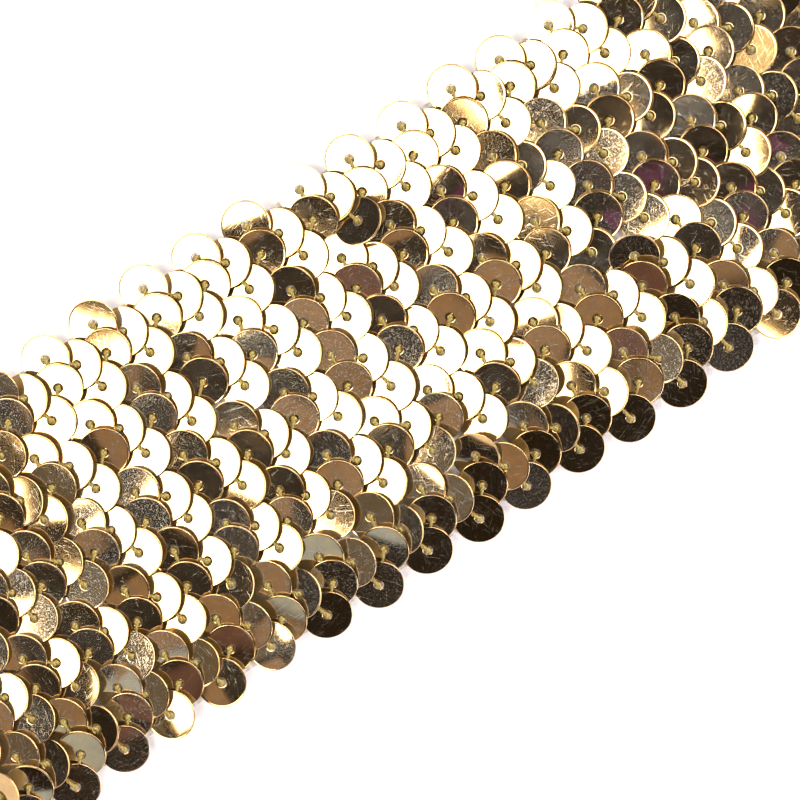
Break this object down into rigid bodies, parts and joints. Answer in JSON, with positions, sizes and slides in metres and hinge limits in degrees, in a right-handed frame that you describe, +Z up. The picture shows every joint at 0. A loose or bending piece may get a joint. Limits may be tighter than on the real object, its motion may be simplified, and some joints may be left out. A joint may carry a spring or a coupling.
{
  "type": "sequin trim",
  "caption": "Flat cut length of stretch sequin trim: round gold foil sequins sewn edge over edge in side-by-side zigzag chains on a pale cloth backing tape.",
  "frame": {"origin": "centre of the footprint, on the underside of the backing tape", "axes": "+X along the trim, +Y across it towards the first chain, +Z up out of the sequin side"},
  "size_m": [0.149, 0.0494, 0.0028],
  "materials": {
    "gold_foil": "mirror-bright gold metallised film with fine scratches",
    "backing_cloth": "fine pale knit tape",
    "gold_thread": "glossy two-ply sewing thread"
  },
  "bodies": {
    "root": {"backing": "backing_cloth", "sequin_row_1": "gold_foil", "sequin_row_2": "gold_foil", "sequin_row_3": "gold_foil", "sequin_row_4": "gold_foil", "sequin_row_5": "gold_foil"}
  },
  "joints": []
}
